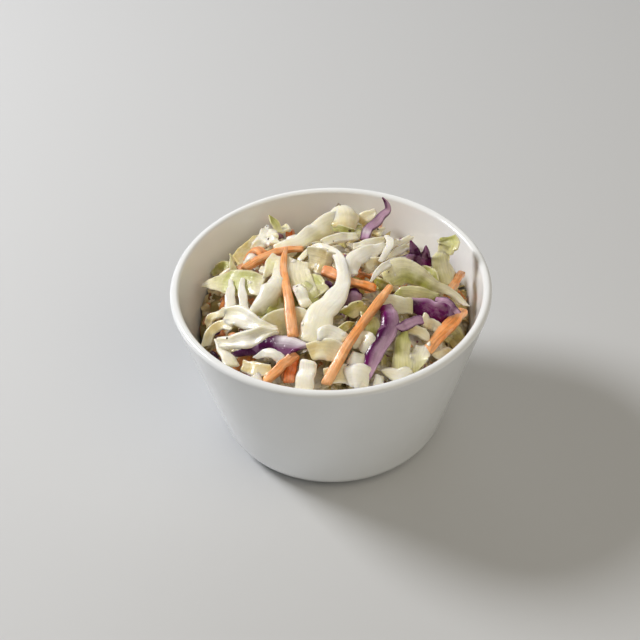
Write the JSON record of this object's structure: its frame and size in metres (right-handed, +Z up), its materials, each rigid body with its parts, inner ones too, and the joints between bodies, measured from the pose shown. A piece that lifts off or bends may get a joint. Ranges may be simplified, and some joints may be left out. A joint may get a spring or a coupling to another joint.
{
  "type": "bowl of coleslaw",
  "caption": "Side-dish bowl of coleslaw: a plain round white tapered bowl filled with a loose heap of shredded cabbage and carrot in a light dressing.",
  "frame": {"origin": "on the table under the middle of the bowl's foot ring", "axes": "+Z up, along the bowl's turning axis; +X towards the side where the heap stands highest; -Y towards the viewer"},
  "size_m": [0.11, 0.11, 0.0663],
  "materials": {
    "porcelain": "white glaze, glossy, with a bare foot ring",
    "dressed_cabbage": null,
    "cabbage_leaf": "pale green cabbage leaf, moist, lightly dressed",
    "red_cabbage": "waxy dark purple cabbage with a lilac film of dressing, wet shine",
    "carrot": "carrot sticks under a thin milky film of dressing",
    "pepper": "specks of ground pepper, matt",
    "dressing": "thin creamy dressing, wet"
  },
  "bodies": {
    "root": {"bowl": "porcelain", "coleslaw": "dressed_cabbage"}
  },
  "joints": []
}
